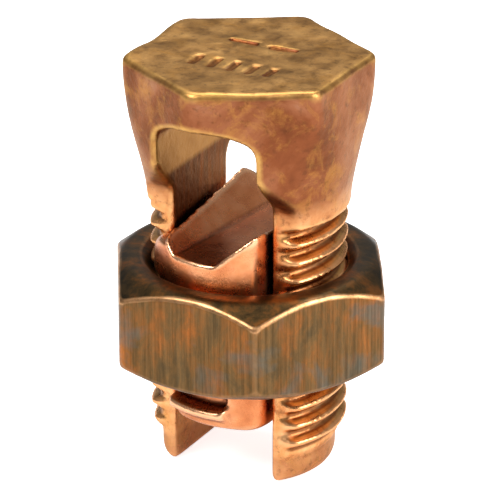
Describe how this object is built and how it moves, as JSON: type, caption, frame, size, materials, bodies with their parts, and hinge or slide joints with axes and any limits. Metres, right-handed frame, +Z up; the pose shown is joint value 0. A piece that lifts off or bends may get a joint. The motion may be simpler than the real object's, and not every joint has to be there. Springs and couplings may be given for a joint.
{
  "type": "split bolt connector",
  "caption": "Split bolt connector: slotted bolt with two threaded legs, pressure bar and hex nut that clamp conductors in the slot.",
  "frame": {"origin": "centre of the underside, on the bolt's axis, where the two leg ends rest", "axes": "+Z up along the bolt's axis from the leg ends to the head; the conductor slot runs along Y and the legs stand at +X and -X"},
  "size_m": [0.022, 0.019, 0.0312],
  "materials": {
    "bolt": "tumbled bronze, tarnished, worn bright on the edges and threads",
    "pressure_bar": "bright copper, salmon, lightly marked",
    "hex_nut": "dark bronze patina with vertical machining streaks and worn edges"
  },
  "bodies": {
    "bolt": {"bolt": "bolt"},
    "pressure_bar": {"pressure_bar": "pressure_bar"},
    "hex_nut": {"hex_nut": "hex_nut"}
  },
  "joints": [
    {"name": "bar_slide", "type": "slide", "parent": "bolt", "child": "pressure_bar", "axis": [0, 0, 1], "range_m": [-0.007, 0.0032]},
    {"name": "nut_turn", "type": "hinge", "parent": "pressure_bar", "child": "hex_nut", "pos_m": [0, 0, 0.0121], "axis": [0, 0, 1], "range_deg": [-1620, 720]}
  ],
  "couplings": [
    {"joint": "bar_slide", "follows": "nut_turn", "m_per_rad": 0.00022457}
  ]
}
